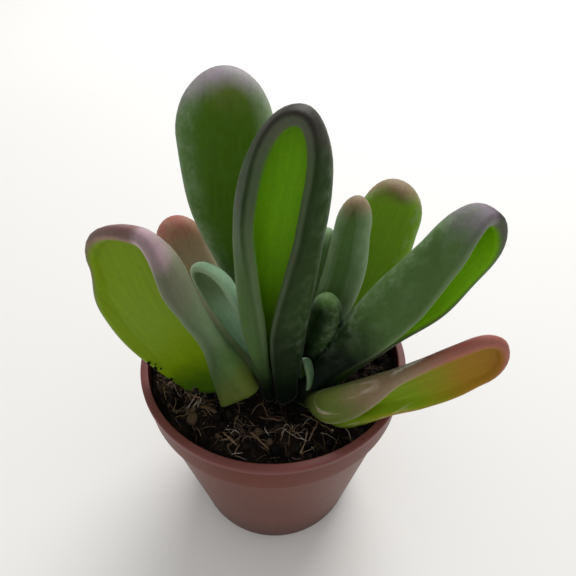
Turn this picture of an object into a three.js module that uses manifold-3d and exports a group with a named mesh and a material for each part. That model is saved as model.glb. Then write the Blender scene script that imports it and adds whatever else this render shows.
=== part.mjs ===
// A young paddle plant in a thin plastic nursery pot. Millimetres, +Z up.
// The origin is the centre of the pot's flat underside; -Y is the side the plant shows to the front.
import * as THREE from "three";
import { mergeVertices } from "three/addons/utils/BufferGeometryUtils.js";
import Module from "manifold-3d";

const wasm = await Module();
wasm.setup();

// Pot
const POT_HEIGHT = 50;
const RIM_RADIUS = 30;
const BASE_RADIUS = 21.2;
const WALL = 1;
const FLOOR = 1.2;
const FOOT_BEVEL = 0.8;
const LIP_DROP = 1.4;
const COLLAR_HEIGHT = 8.5;
const COLLAR_RADIUS = 29.3;
const COLLAR_STEP = 0.9;
const LIP_ROUND = 0.3;
const DRAIN_COUNT = 6;
const DRAIN_RING = 14;
const DRAIN_RADIUS = 2.5;
const DRAIN_SIDES = 12;
const POT_SIDES = 40;

// Soil. It stands higher on the left than at the right and back.
const SOIL_LEVEL = 46.4;
const SOIL_TILT = [-0.04, -0.02];
const SOIL_RINGS = 9;
const LUMP_HEIGHT = 0.55;
// Waves whose sum makes the lumps: radians per mm along x and along y, and where each starts
const LUMP_WAVES = [
  [0.5, 0.3, 0],
  [0.21, -0.62, 1],
  [0.9, 0.4, 2],
];
const GRAIN_HEIGHT = 0.3;
const GRAIN_WAVE = 4.3;
// Fibres rise from the soil and dip back into it; the lifts are their heights above it from end to end.
const FIBRE_COUNT = 20;
const FIBRE_LENGTH = [5, 10];
const FIBRE_WIDTH = 0.8;
const FIBRE_LIFTS = [-1, 0.35, 0.5, -1];
const FIBRE_BEND = 0.6;
const FIBRE_STEPS = 4;
const CRUMB_COUNT = 14;
const CRUMB_RADIUS = [0.8, 1.5];
// How far the middles of fibres and crumbs, and the ends of fibres, stay from the soil's edge
const MIDDLE_MARGIN = 3;
const END_MARGIN = 1;

// Stem
const STEM_CENTRE = [2.5, -7.5];
const STEM_RADIUS = 3;
const STEM_FOOT = 24;
const STEM_TOP = 57;
// The stem's outline between foot and top: shares of its radius, and heights
const STEM_OUTLINE = [
  [0.5, 24],
  [0.8, 28],
  [1, 36],
  [1, 54],
  [0.75, 56],
];
const STEM_SIDES = 16;

// Gap between pieces that lie against each other
const CLEARANCE = 0.3;

// Leaves. Each is a thick blade whose two edges are folded back towards its hollow underside. Its rib is
// a cubic curve from base to tip along the middle of the blade, and "faces" is the way the underside
// looks at the base and at the tip. Seen from the underside with the tip up, each side has, at even steps
// from the base to the shoulder, "half", from the rib out to the fold, "roll", the angle of the fold in
// degrees, and "arm", how far the blade runs straight on past the fold. "curl" is the fold's radius.
// Past the shoulder the tip is half an oval, "long" mm from shoulder to tip, with "half", "roll" and
// "arm" its values at the very tip.
const LEAVES = [
  {
    name: "leaf_front",
    color: 0x4f7a35,
    rib: [[0.5, -10.3, 50.5], [-1.5, -10, 66], [1.2, -10, 88], [5, -11, 111]],
    faces: [[-0.1, -1, 0], [-0.3, -1, 0.1]],
    left: { half: [3.6, 4.4, 5.9, 7.1, 8], roll: [135, 148, 148, 138, 125], arm: [0.3, 0.3, 1.8, 2.1, 2.2] },
    right: { half: [4.8, 6.2, 6.9, 7.1, 7], roll: [150, 150, 155, 145, 140], arm: [0.9, 2.2, 2.4, 2.2, 1.5] },
    curl: [2, 2.2, 2.4, 2.4, 2.2],
    thick: [2.6, 2.6, 2.6, 2.5, 2.4],
    tip: { long: 18, half: 4.6, roll: 95, arm: 0.8 },
  },
  {
    name: "leaf_back",
    color: 0x5f8a4c,
    rib: [[0.5, -4.6, 51], [-6.5, -2, 66], [-9, 3, 88], [-6, 11, 109.1]],
    faces: [[-0.2, 1, 0], [-0.2, 1, -0.3]],
    left: { half: [3.8, 4, 6, 8.7, 9.1], roll: [105, 110, 110, 90, 80], arm: [0.5] },
    right: { half: [3.6, 3.6, 4.8, 8.2, 9.6], roll: [100, 100, 105, 90, 80], arm: [0.5] },
    curl: [2, 2.2, 2.4, 2.6, 2.6],
    thick: [2.8, 2.7, 2.6, 2.6, 2.6],
    tip: { long: 12, half: 7, roll: 70, arm: 0.3 },
  },
  {
    name: "leaf_left",
    color: 0x86903c,
    rib: [[-8.6, -10.6, 50.3], [-11, -7.6, 57.4], [-21, -8.5, 71], [-20.2, -11.5, 92.6]],
    faces: [[-0.2, -1, -0.1], [-0.35, -1, 0]],
    left: { half: [10.5, 14, 16.4, 15.4, 12.2], roll: [20, 20, 20, 25, 35], arm: [1, 2, 2, 2, 0.5] },
    right: { half: [7.2, 7, 6.8, 7.2, 7.3], roll: [150, 150, 114, 112, 107], arm: [3.6, 1.4, 0.4, 0.8, 1.9] },
    curl: [2.2, 2.4, 2.6, 2.6, 2.6],
    thick: [2.8, 2.8, 2.7, 2.6, 2.6],
    tip: { long: 10.2, half: 5, roll: 70, arm: 0.3 },
  },
  {
    name: "leaf_right",
    color: 0x56774f,
    rib: [[5.6, -8, 49.5], [12, -7, 58], [25, -3.5, 71], [35.6, -5.5, 93]],
    faces: [[0.3, -0.95, -0.2], [0.27, -0.93, -0.22]],
    left: { half: [4.2, 5.4, 7, 7.6, 6.4], roll: [115, 112, 105, 100, 95], arm: [1.5, 2.2, 4.6, 5.8, 4.6] },
    right: { half: [4, 4.4, 5.4, 7.4, 7.6], roll: [130, 110, 85, 70, 60], arm: [1, 1.4, 3, 5, 5] },
    curl: [2.4, 2.8, 3.2, 3.2, 3],
    thick: [2.8, 2.8, 2.7, 2.6, 2.6],
    tip: { long: 11, half: 6, roll: 80, arm: 1.5 },
  },
  {
    name: "leaf_low_right",
    color: 0xa07a62,
    rib: [[4.8, -11, 47.8], [11.8, -19.8, 53], [27.6, -16.2, 60.3], [43.2, -14.6, 68]],
    faces: [[0.2, -0.95, 0], [0.05, -0.97, 0.1]],
    left: {
      half: [1.9, 2.6, 4.9, 5.3, 5.2, 5, 5, 5, 4.8],
      roll: [70, 80, 110, 110, 98, 76, 64, 60, 60],
      arm: [0.2, 0.3, 2, 2.2, 1.4, 0.4, 0.3, 0.3, 0.3],
    },
    right: {
      half: [1.9, 2.6, 4.9, 5.4, 6.6, 8, 8.8, 9, 8.4],
      roll: [70, 80, 110, 90, 60, 45, 35, 35, 40],
      arm: [0.2, 0.3, 0.5, 0.8, 1, 1, 1, 0.8, 0.5],
    },
    curl: [0.6, 1, 2.2, 2.4, 2.4, 2.4, 2.4, 2.4, 2.4],
    thick: [2.2, 2.4, 2.8, 2.8, 2.7, 2.6, 2.5, 2.4, 2.4],
    tip: { long: 7, half: 5, roll: 60, arm: 0.3 },
  },
  {
    name: "leaf_back_right",
    color: 0x6a8f4a,
    rib: [[5.2, -5.2, 49.5], [12, 2, 56], [22.5, 12, 62], [28.5, 22, 82]],
    faces: [[0.5, 0.7, -0.4], [0.4, 0.9, -0.4]],
    left: { half: [3.8, 5, 6.8, 8.6, 8.2], roll: [140, 140, 120, 100, 90], arm: [0.5] },
    right: { half: [3.8, 4.5, 5.5, 7, 7], roll: [140, 140, 120, 100, 90], arm: [0.5] },
    curl: [2, 2.2, 2.4, 2.4, 2.4],
    thick: [2.6, 2.6, 2.5, 2.4, 2.4],
    tip: { long: 9, half: 5.5, roll: 80, arm: 0.3 },
  },
  {
    name: "leaf_back_left",
    color: 0xa8705f,
    rib: [[-0.2, -5.4, 48.8], [-8, 2, 52], [-18, 12, 56], [-22.5, 20, 74]],
    faces: [[-0.5, 0.7, -0.5], [-0.4, 0.8, -0.6]],
    left: { half: [3.6, 4.8, 6.4, 7.2, 6.8], roll: [115, 125, 120, 100, 90], arm: [0.5] },
    right: { half: [3.6, 4, 5, 6, 6], roll: [115, 115, 115, 100, 90], arm: [0.5] },
    curl: [2, 2.2, 2.2, 2.2, 2.2],
    thick: [2.6, 2.6, 2.5, 2.4, 2.4],
    tip: { long: 8, half: 5, roll: 80, arm: 0.3 },
  },
  {
    name: "leaf_small_left",
    color: 0x6f9a7c,
    rib: [[0.2, -7, 53], [-6, -5, 58], [-10, -3, 68], [-13, -3, 79]],
    faces: [[-0.45, -0.85, -0.1], [-0.45, -0.85, -0.1]],
    left: { half: [2.6, 3, 3.6, 4, 4], roll: [40, 30, 30, 35, 50], arm: [0.5] },
    right: { half: [2.6, 3.4, 5, 6.4, 6], roll: [110, 110, 110, 100, 90], arm: [0.2] },
    curl: [1.6, 1.6, 1.7, 1.7, 1.7],
    thick: [2, 2, 1.9, 1.8, 1.8],
    tip: { long: 6, half: 3.6, roll: 70, arm: 0.2 },
  },
  {
    name: "leaf_inner",
    color: 0x5c8558,
    rib: [[4.4, -5.6, 55], [13, -0.5, 61], [15, 4, 74], [17, 8, 85.5]],
    faces: [[0.5, 0.7, -0.2], [0.3, 0.9, -0.2]],
    left: { half: [3, 4.2, 5, 5, 4], roll: [115, 125, 125, 125, 120], arm: [0.5] },
    right: { half: [3, 3.6, 4, 4, 3.8], roll: [115, 125, 125, 125, 120], arm: [0.5] },
    curl: [1.8, 1.9, 2, 2, 2],
    thick: [2.2, 2.2, 2.2, 2.1, 2],
    tip: { long: 7, half: 3.6, roll: 90, arm: 0.3 },
  },
  {
    name: "leaf_inner_back",
    color: 0x6d9a5c,
    rib: [[2.9, -4.4, 56], [5, 2, 61], [10, 6, 66], [11.5, 9, 77]],
    faces: [[0.2, 0.9, -0.2], [0.2, 0.95, -0.2]],
    left: { half: [2.6, 3, 3.4, 3.4, 3.2], roll: [110, 115, 120, 120, 115], arm: [0.5] },
    right: { half: [2.6, 3, 3.4, 3.4, 3.2], roll: [110, 115, 120, 120, 115], arm: [0.5] },
    curl: [1.6, 1.6, 1.7, 1.7, 1.7],
    thick: [2, 2, 1.9, 1.8, 1.8],
    tip: { long: 5, half: 3.2, roll: 90, arm: 0.3 },
  },
  {
    name: "leaf_small_right",
    color: 0x44694e,
    rib: [[5, -8.4, 55.5], [7, -9, 60], [9.5, -9, 65], [9.8, -8, 73]],
    faces: [[0.6, 0.6, -0.4], [0.5, 0.8, -0.3]],
    left: { half: [2.6, 3, 3.4, 3.4, 3.4], roll: [120, 130, 120, 110, 100], arm: [0.5] },
    right: { half: [2.6, 3, 3.4, 3.4, 3.4], roll: [120, 130, 120, 110, 100], arm: [0.5] },
    curl: [1.6, 1.6, 1.7, 1.7, 1.7],
    thick: [2, 2, 1.9, 1.8, 1.8],
    tip: { long: 5, half: 3.2, roll: 90, arm: 0.3 },
  },
  {
    name: "leaf_bud",
    color: 0x7f9a8c,
    rib: [[4, -10.4, 47.2], [7, -12.4, 50], [8.2, -12.4, 55], [6.6, -11.2, 60]],
    faces: [[-0.6, -0.7, 0.3], [-0.9, -0.3, 0]],
    left: { half: [1.4, 1.7, 1.9, 1.9, 1.8], roll: [60], arm: [0.5] },
    right: { half: [1.4, 1.7, 1.9, 1.9, 1.8], roll: [60], arm: [0.5] },
    curl: [0.9],
    thick: [1.2],
    tip: { long: 3, half: 1.6, roll: 60, arm: 0.3 },
  },
];

const ROW_STEP = 6;
const CAP_STEP = 3.2;
const FLAT_COLUMNS = 1;
const FOLD_COLUMNS = 3;
const EDGE_COLUMNS = 2;
const CROWN = 0.12;

// The value at s, from 0 to 1, of a smooth curve through evenly spaced values
function along(values, s) {
  const last = values.length - 1;
  const place = Math.min(Math.max(s, 0), 1) * last;
  const i = Math.min(Math.floor(place), last - 1);
  const t = place - i;
  const at = (k) => values[Math.min(Math.max(k, 0), last)];
  const [a, b, c, d] = [at(i - 1), at(i), at(i + 1), at(i + 2)];
  return b + 0.5 * t * (c - a + t * (2 * a - 5 * b + 4 * c - d + t * (3 * (b - c) + d - a)));
}

// Points of one side of a cross-section, from the rib to the folded edge: how far out from the rib, how
// far back from the blade, the blade's slope there and half its thickness
function sidePoints({ half, roll, arm, curl, thick }) {
  const turn = THREE.MathUtils.degToRad(roll);
  const fold = curl * Math.sin(Math.min(turn, Math.PI / 2)) + arm * Math.max(Math.cos(turn), 0);
  const flat = half - thick / 2 - fold;
  const points = [];
  for (let k = 0; k < FLAT_COLUMNS; k++) {
    const f = k / FLAT_COLUMNS;
    points.push({ out: f * flat, back: 0.5 * CROWN * f * f * flat, slope: CROWN * f, thick: thick / 2 });
  }
  for (let k = 0; k <= FOLD_COLUMNS; k++) {
    const slope = CROWN + ((turn - CROWN) * k) / FOLD_COLUMNS;
    const out = flat + curl * (Math.sin(slope) - Math.sin(CROWN));
    const back = 0.5 * CROWN * flat + curl * (Math.cos(CROWN) - Math.cos(slope));
    points.push({ out, back, slope, thick: thick / 2 });
  }
  const bend = points.at(-1);
  for (let k = 0; k <= EDGE_COLUMNS; k++) {
    const a = ((k / EDGE_COLUMNS) * Math.PI) / 2;
    const reach = arm + (thick / 2) * Math.sin(a);
    const out = bend.out + reach * Math.cos(turn);
    const back = bend.back + reach * Math.sin(turn);
    points.push({ out, back, slope: turn, thick: (thick / 2) * Math.cos(a) });
  }
  return points;
}

// The rib at a distance from the base: its point, its direction, out of the upper face and across it
function ribFrames(leaf) {
  const curve = new THREE.CubicBezierCurve3(...leaf.rib.map((p) => new THREE.Vector3(...p)));
  const length = curve.getLength();
  const [base, tip] = leaf.faces.map((d) => new THREE.Vector3(...d).normalize());
  const frame = (distance) => {
    const s = Math.min(Math.max(distance / length, 0), 1);
    const point = curve.getPointAt(s);
    const tangent = curve.getTangentAt(s);
    point.addScaledVector(tangent, distance - s * length);
    const up = base.clone().lerp(tip, s).negate();
    up.addScaledVector(tangent, -up.dot(tangent)).normalize();
    const across = new THREE.Vector3().crossVectors(tangent, up);
    return { point, up, across };
  };
  return { length, frame };
}

// A closed leaf as a list of triangle corners that match exactly where they meet. "grow" swells it evenly.
function leafTriangles(leaf, grow = 0) {
  const { length, frame } = ribFrames(leaf);
  const shoulder = length - leaf.tip.long;
  const rowCount = Math.round(shoulder / ROW_STEP) + 1;
  const capCount = 2 * Math.round((leaf.tip.long + leaf.tip.half) / CAP_STEP / 2) + 2;
  const station = (side, s) => ({
    half: along(leaf[side].half, s) + grow,
    roll: along(leaf[side].roll, s),
    arm: along(leaf[side].arm, s),
    curl: along(leaf.curl, s),
    thick: along(leaf.thick, s) + 2 * grow,
  });
  // One line of points from the rib over the upper face, round the edge and back under the blade, from a
  // place on the rib and in the direction whose parts across and along the rib are x and y
  const line = (section, from, x, y) => {
    const place = (p, face) => {
      const reach = p.out + face * p.thick * Math.sin(p.slope);
      const rise = face * p.thick * Math.cos(p.slope) - p.back;
      const f = frame(from + reach * y);
      return f.point.addScaledVector(f.across, reach * x).addScaledVector(f.up, rise);
    };
    const points = sidePoints(section);
    const upper = points.map((p) => place(p, 1));
    const lower = points.slice(0, -1).map((p) => place(p, -1));
    return [...upper, ...lower.reverse()];
  };
  const rows = { left: [], right: [] };
  for (let k = 0; k <= rowCount; k++) {
    const s = k / rowCount;
    const from = k === 0 ? -grow : s * shoulder;
    rows.left.push(line(station("left", s), from, 1, 0));
    rows.right.push(line(station("right", s), from, -1, 0));
  }
  // Round the tip, the lines swing from one side to the other while their start slides up the rib
  const slide = leaf.tip.long - leaf.tip.half;
  const cap = [rows.left.at(-1)];
  for (let k = 1; k < capCount; k++) {
    const turn = (k / capCount) * Math.PI;
    const side = station(turn < Math.PI / 2 ? "left" : "right", 1);
    const [x, y] = [side.half * Math.cos(turn), (leaf.tip.half + grow) * Math.sin(turn)];
    const half = Math.hypot(x, y);
    const share = Math.sin(turn) ** 2;
    const roll = THREE.MathUtils.lerp(side.roll, leaf.tip.roll, share);
    const arm = THREE.MathUtils.lerp(side.arm, leaf.tip.arm, share);
    const section = { ...side, half, roll, arm };
    cap.push(line(section, shoulder + slide * Math.sin(turn), x / half, y / half));
  }
  cap.push(rows.right.at(-1));
  const corners = [];
  const quad = (a, b, c, d) => corners.push(a, b, c, a, c, d);
  const skin = (a, b) => {
    for (let j = 0; j + 1 < a.length; j++) quad(a[j], a[j + 1], b[j + 1], b[j]);
  };
  for (let k = 0; k < rowCount; k++) {
    skin(rows.left[k], rows.left[k + 1]);
    skin(rows.right[k + 1], rows.right[k]);
  }
  for (let k = 0; k < capCount; k++) skin(cap[k], cap[k + 1]);
  const close = (ring, flip) => {
    const n = ring.length - 1;
    for (let j = 0; j < n - j - 1; j++) {
      const [a, b, c, d] = [ring[j], ring[j + 1], ring[n - j - 1], ring[n - j]];
      if (flip) quad(a, d, c, b);
      else quad(a, b, c, d);
    }
  };
  close(rows.left[0], true);
  close(rows.right[0], false);
  return corners;
}

// A manifold-3d solid from a list of triangle corners
function solidOf(corners) {
  const soup = new THREE.BufferGeometry().setFromPoints(corners);
  const merged = mergeVertices(soup, 1e-3);
  const index = [];
  for (let i = 0; i < merged.index.count; i += 3) {
    const [a, b, c] = [0, 1, 2].map((k) => merged.index.getX(i + k));
    if (a !== b && b !== c && a !== c) index.push(a, b, c);
  }
  const mesh = new wasm.Mesh({
    numProp: 3,
    vertProperties: merged.attributes.position.array,
    triVerts: new Uint32Array(index),
  });
  return new wasm.Manifold(mesh);
}

// A manifold-3d solid from a closed three.js geometry
function solidOfGeometry(geometry) {
  const flat = geometry.index ? geometry.toNonIndexed() : geometry;
  const { array, count } = flat.attributes.position;
  return solidOf(Array.from({ length: count }, (_, i) => new THREE.Vector3().fromArray(array, 3 * i)));
}

function geometryOf(solid) {
  const mesh = solid.getMesh();
  const geometry = new THREE.BufferGeometry();
  geometry.setAttribute("position", new THREE.BufferAttribute(new Float32Array(mesh.vertProperties), 3));
  geometry.setIndex(new THREE.BufferAttribute(new Uint32Array(mesh.triVerts), 1));
  geometry.computeVertexNormals();
  return geometry;
}

// A body turned round the z axis, from [radius, z] points that go up the outside
function turned(points, sides) {
  const profile = points.map(([radius, z]) => new THREE.Vector2(radius, z));
  return new THREE.LatheGeometry(profile, sides).rotateX(Math.PI / 2);
}

// The same numbers from 0 to 1 on every run
function seeded(seed) {
  let state = seed;
  return () => {
    state = (Math.imul(state, 1664525) + 1013904223) >>> 0;
    return state / 2 ** 32;
  };
}

function potSolid() {
  const neck = POT_HEIGHT - COLLAR_HEIGHT;
  const neckRadius = COLLAR_RADIUS - COLLAR_STEP;
  const lip = POT_HEIGHT - LIP_DROP;
  const shell = turned(
    [
      [0, 0],
      [BASE_RADIUS - FOOT_BEVEL, 0],
      [BASE_RADIUS, FOOT_BEVEL],
      [neckRadius, neck],
      [COLLAR_RADIUS, neck + COLLAR_STEP],
      [COLLAR_RADIUS, lip],
      [RIM_RADIUS, lip + LIP_ROUND],
      [RIM_RADIUS, POT_HEIGHT - LIP_ROUND],
      [RIM_RADIUS - LIP_ROUND, POT_HEIGHT],
      [COLLAR_RADIUS - WALL + LIP_ROUND, POT_HEIGHT],
      [COLLAR_RADIUS - WALL, POT_HEIGHT - LIP_ROUND],
      [COLLAR_RADIUS - WALL, neck + COLLAR_STEP],
      [neckRadius - WALL, neck],
      [BASE_RADIUS - WALL, FLOOR],
      [0, FLOOR],
    ],
    POT_SIDES,
  );
  let solid = solidOfGeometry(shell);
  for (let k = 0; k < DRAIN_COUNT; k++) {
    const turn = (k / DRAIN_COUNT) * 2 * Math.PI;
    const drill = new THREE.CylinderGeometry(DRAIN_RADIUS, DRAIN_RADIUS, 4 * FLOOR, DRAIN_SIDES);
    drill.rotateX(Math.PI / 2).translate(DRAIN_RING * Math.cos(turn), DRAIN_RING * Math.sin(turn), 0);
    solid = solid.subtract(solidOfGeometry(drill));
  }
  return solid;
}

// The stem. "grow" swells it evenly.
function stemSolid(grow = 0) {
  const outline = STEM_OUTLINE.map(([share, z]) => [share * (STEM_RADIUS + grow), z]);
  const stem = turned([[0, STEM_FOOT - grow], ...outline, [0, STEM_TOP + grow]], STEM_SIDES);
  return solidOfGeometry(stem.translate(...STEM_CENTRE, 0));
}

// The height of the soil: a tilted level with low lumps
function soilHeight(x, y) {
  const waves = LUMP_WAVES.map(([perX, perY, start]) => Math.sin(perX * x + perY * y + start));
  const lumps = waves.reduce((sum, wave) => sum + wave, 0);
  return SOIL_LEVEL + SOIL_TILT[0] * x + SOIL_TILT[1] * y + LUMP_HEIGHT * lumps;
}

function soilSolid() {
  const random = seeded(7);
  const top = COLLAR_RADIUS - WALL - CLEARANCE;
  const neck = POT_HEIGHT - COLLAR_HEIGHT;
  const points = [
    [0, FLOOR],
    [BASE_RADIUS - WALL - CLEARANCE, FLOOR],
    [top - COLLAR_STEP, neck],
    [top, neck + COLLAR_STEP],
  ];
  const wall = points.length;
  for (let k = SOIL_RINGS; k >= 0; k--) points.push([(top * k) / SOIL_RINGS, SOIL_LEVEL]);
  const plug = turned(points, POT_SIDES);
  const place = plug.attributes.position;
  for (let i = 0; i < place.count; i++) {
    if (i % points.length < wall) continue;
    const [x, y] = [place.getX(i), place.getY(i)];
    const grain = Math.sin(GRAIN_WAVE * x) * Math.cos(GRAIN_WAVE * y);
    place.setZ(i, soilHeight(x, y) + GRAIN_HEIGHT * grain);
  }
  const pieces = [solidOfGeometry(plug)];
  const spot = () => {
    const turn = 2 * Math.PI * random();
    const reach = (top - MIDDLE_MARGIN) * Math.sqrt(random());
    return [reach * Math.cos(turn), reach * Math.sin(turn)];
  };
  const between = ([low, high]) => low + (high - low) * random();
  for (let k = 0; k < FIBRE_COUNT; k++) {
    const [x, y] = spot();
    const heading = 2 * Math.PI * random();
    const length = between(FIBRE_LENGTH);
    const bend = FIBRE_BEND * (random() - 0.5);
    const route = FIBRE_LIFTS.map((lift, i) => {
      const offset = (i / (FIBRE_LIFTS.length - 1) - 0.5) * length;
      const way = heading + bend * i;
      const [px, py] = [x + offset * Math.cos(way), y + offset * Math.sin(way)];
      const squeeze = Math.min(1, (top - END_MARGIN) / Math.hypot(px, py));
      return new THREE.Vector3(px * squeeze, py * squeeze, soilHeight(px, py) + lift);
    });
    const half = FIBRE_WIDTH / 2;
    const section = new THREE.Shape([
      new THREE.Vector2(half, 0),
      new THREE.Vector2(0, half),
      new THREE.Vector2(-half, 0),
      new THREE.Vector2(0, -half),
    ]);
    const path = new THREE.CatmullRomCurve3(route);
    const fibre = new THREE.ExtrudeGeometry(section, { extrudePath: path, steps: FIBRE_STEPS });
    pieces.push(solidOfGeometry(fibre));
  }
  for (let k = 0; k < CRUMB_COUNT; k++) {
    const [x, y] = spot();
    const radius = between(CRUMB_RADIUS);
    const crumb = new THREE.IcosahedronGeometry(radius, 0);
    crumb.rotateX(2 * Math.PI * random()).rotateY(2 * Math.PI * random());
    pieces.push(solidOfGeometry(crumb.translate(x, y, soilHeight(x, y))));
  }
  return wasm.Manifold.union(pieces);
}

// The biggest body of what is left of a solid when others are cut from it
function cutBy(solid, cutters) {
  const rest = cutters.reduce((left, cutter) => left.subtract(cutter), solid);
  return rest.decompose().reduce((a, b) => (a.volume() > b.volume() ? a : b));
}

function meshOf(name, solid, color, roughness) {
  const material = new THREE.MeshStandardMaterial({ color, roughness, metalness: 0 });
  const mesh = new THREE.Mesh(geometryOf(solid), material);
  mesh.name = name;
  return mesh;
}

const plant = new THREE.Group();
plant.add(meshOf("pot", potSolid(), 0x9c5c48, 0.5));
plant.add(meshOf("stem", stemSolid(), 0x6d7a4c, 0.8));
const grown = [stemSolid(CLEARANCE)];
for (const leaf of LEAVES) {
  const solid = cutBy(solidOf(leafTriangles(leaf)), grown);
  plant.add(meshOf(leaf.name, solid, leaf.color, 0.45));
  grown.push(solidOf(leafTriangles(leaf, CLEARANCE)));
}
plant.add(meshOf("soil", cutBy(soilSolid(), grown), 0x2a201b, 0.95));
export default plant;
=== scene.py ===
"""A young paddle plant with folded leaves, in a small plastic nursery pot of peat.

Sizes in the tables are millimetres; the objects are in metres.
"""
import math

import bmesh
import bpy
import numpy as np
from mathutils import Matrix, Vector, noise


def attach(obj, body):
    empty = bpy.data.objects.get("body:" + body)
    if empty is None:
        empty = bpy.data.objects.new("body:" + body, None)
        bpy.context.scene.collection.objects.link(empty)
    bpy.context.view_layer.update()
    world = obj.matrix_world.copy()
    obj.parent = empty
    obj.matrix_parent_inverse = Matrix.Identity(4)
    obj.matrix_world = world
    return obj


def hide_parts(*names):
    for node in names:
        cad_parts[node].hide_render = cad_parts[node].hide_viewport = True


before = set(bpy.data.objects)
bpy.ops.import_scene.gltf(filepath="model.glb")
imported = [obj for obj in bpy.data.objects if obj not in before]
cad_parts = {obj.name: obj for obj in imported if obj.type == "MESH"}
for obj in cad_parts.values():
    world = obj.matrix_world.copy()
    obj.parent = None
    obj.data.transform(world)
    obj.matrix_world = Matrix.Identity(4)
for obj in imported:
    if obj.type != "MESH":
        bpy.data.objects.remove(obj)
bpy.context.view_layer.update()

MM = 0.001
SEED = 11

# Camera: its place, its angles in degrees and its lens
CAMERA_PLACE = (0.0, -74.7, 132.9)
CAMERA_PITCH = 40.708
CAMERA_YAW = 2.384
CAMERA_ROLL = 0.568
CAMERA_LENS = 30.0
SENSOR_WIDTH = 36.0

# Pot
POT_HEIGHT = 50
RIM_RADIUS = 30
BASE_RADIUS = 21.2
WALL = 1
FLOOR = 1.2
FOOT_BEVEL = 0.8
LIP_DROP = 1.4
COLLAR_HEIGHT = 8.5
COLLAR_RADIUS = 29.3
COLLAR_STEP = 0.9
LIP_ROUND = 0.3
SOFT_EDGE = 0.35
POT_SIDES = 144
WALL_STEPS = 20
COLLAR_STEPS = 6
POT_CREASE = 35
DRAIN_COUNT = 6
DRAIN_RING = 14
DRAIN_RADIUS = 2.5
DRAIN_SIDES = 32
DRILL_LOW = -3
DRILL_HIGH = 4

# Tones of the pot, as 0-255 RGB: up its side, as shares of its height, darker towards the bottom as painted
# shade near the floor, then inside, darker as painted shade within the pot, of dust and of dirt
POT_TONES = (
    (0.0, (80, 34, 22)),
    (0.3, (98, 46, 31)),
    (0.8, (104, 52, 37)),
    (0.955, (100, 46, 34)),
    (0.985, (116, 66, 62)),
)
POT_INSIDE_SHADE = (52, 22, 20)
POT_DUST = (176, 140, 122)
POT_DIRT = (40, 24, 18)

# Soil
SOIL_LEVEL = 46.4
SOIL_TILT = (-0.04, -0.02)
LUMP_HEIGHT = 0.55
SOIL_GAP = 0.3
SOIL_SIDES = 300
SOIL_RINGS = 96
SOIL_EDGE = 1.2
SOIL_EDGE_DROP = 0.8

# Swells of the soil: height, pace, shift, and how rough, how spread and how many their octaves are
SOIL_SWELLS = (
    (0.75, 0.28, (0, 0, 0), 1.0, 2.0, 3),
    (0.45, 1.1, (9, 4, 2), 0.8, 2.1, 4),
)

# Tones of the soil: of its grain, of the browner lumps and of the threads in it
PEAT_TONES = ((0.3, (9, 7, 6)), (0.55, (28, 22, 17)), (0.8, (60, 46, 35)))
PEAT_BROWN = (44, 33, 26)
PEAT_THREAD = (92, 72, 52)

# Crumbs and fibres on the soil
ANY_HEADING = 6.28
BITS_MARGIN = 1.6
CRUMB_COUNT = 1300
CRUMB_SIZE = 0.28
CRUMB_SPREAD = 1.0
FINE_FROM = 0.8
CRUMB_TONES = ((0.02, 0.1, 0.2, 0.34, 0.5, 0.97), (0.3, 0.28, 0.2, 0.14, 0.06, 0.02))
FIBRE_COUNT = 900
FIBRE_STEPS = 7
FIBRE_SIDES = 4
FIBRE_WANDER = 0.12
FIBRE_TONES = ((0.2, 0.4, 0.55, 0.7, 0.85), (0.26, 0.28, 0.24, 0.16, 0.06))
TANGLE_TONES = ((0.5, 0.7, 0.84, 0.95), (0.25, 0.35, 0.28, 0.12))
TANGLE_SPREAD = 0.45
STICK_STEPS = 9
STICK_SIDES = 6
STICK_LIFT = 0.7
FLATNESS = 0.6
TAPER = 6
END_WIDTH = 0.35

# Where tan fibres lie thick: x, y, reach and how many
TANGLES = [
    (-21, -7, 4.5, 90),
    (-16, -12, 4, 60),
    (-24, 0, 3, 26),
    (-6, -20, 5, 30),
    (3, -19, 4, 26),
    (13, -18, 4, 20),
    (18, 8, 6, 20),
]

# Single sticks: start x and y, end x and y, thickness, tone
STICKS = [
    (-10.5, -20, -7.5, -23.2, 0.26, 0.72),
    (-5.2, -20.4, -1.2, -23.6, 0.3, 0.66),
    (-3.4, -15.8, 1.6, -18.2, 0.2, 0.62),
    (5.2, -15.4, 9.4, -18, 0.22, 0.6),
    (9, -17.4, 6.4, -22.6, 0.16, 0.74),
    (6.6, -19.8, 4.6, -25.4, 0.14, 0.8),
    (-15.6, -14.2, -11.4, -16.6, 0.5, 0.5),
    (-19.6, -9.6, -15.6, -12.4, 0.24, 0.8),
]

# Crumbs that lie on the left leaf: how far up it and how far out they are, as shares, and their size
SPECK_LEAF = "leaf_left"
SPECK_SAG = 0.12
SPECK_TONE = 0.05
SPECKS = [(0.36, 0.86, 0.5), (0.34, 0.8, 0.3), (0.31, 0.87, 0.55), (0.3, 0.8, 0.3), (0.2, 0.86, 0.45)]

# Tones of the crumbs and fibres, from the darkest to the palest
BITS_TONES = (
    (0.0, (8, 7, 6)),
    (0.3, (40, 31, 25)),
    (0.6, (94, 74, 56)),
    (0.85, (142, 120, 94)),
    (1.0, (196, 188, 174)),
)

# Stem
STEM_CENTRE = (2.5, -7.5)
STEM_RADIUS = 3
STEM_FOOT = 24
STEM_TOP = 57
STEM_SIDES = 48
STEM_ROWS = 40
STEM_TAPER = 12
STEM_SCAR_ROWS = 4
STEM_SCAR_DEPTH = 0.05
STEM_TONES = ((0.3, (52, 66, 32)), (0.55, (92, 104, 58)), (0.75, (112, 96, 66)))

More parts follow.
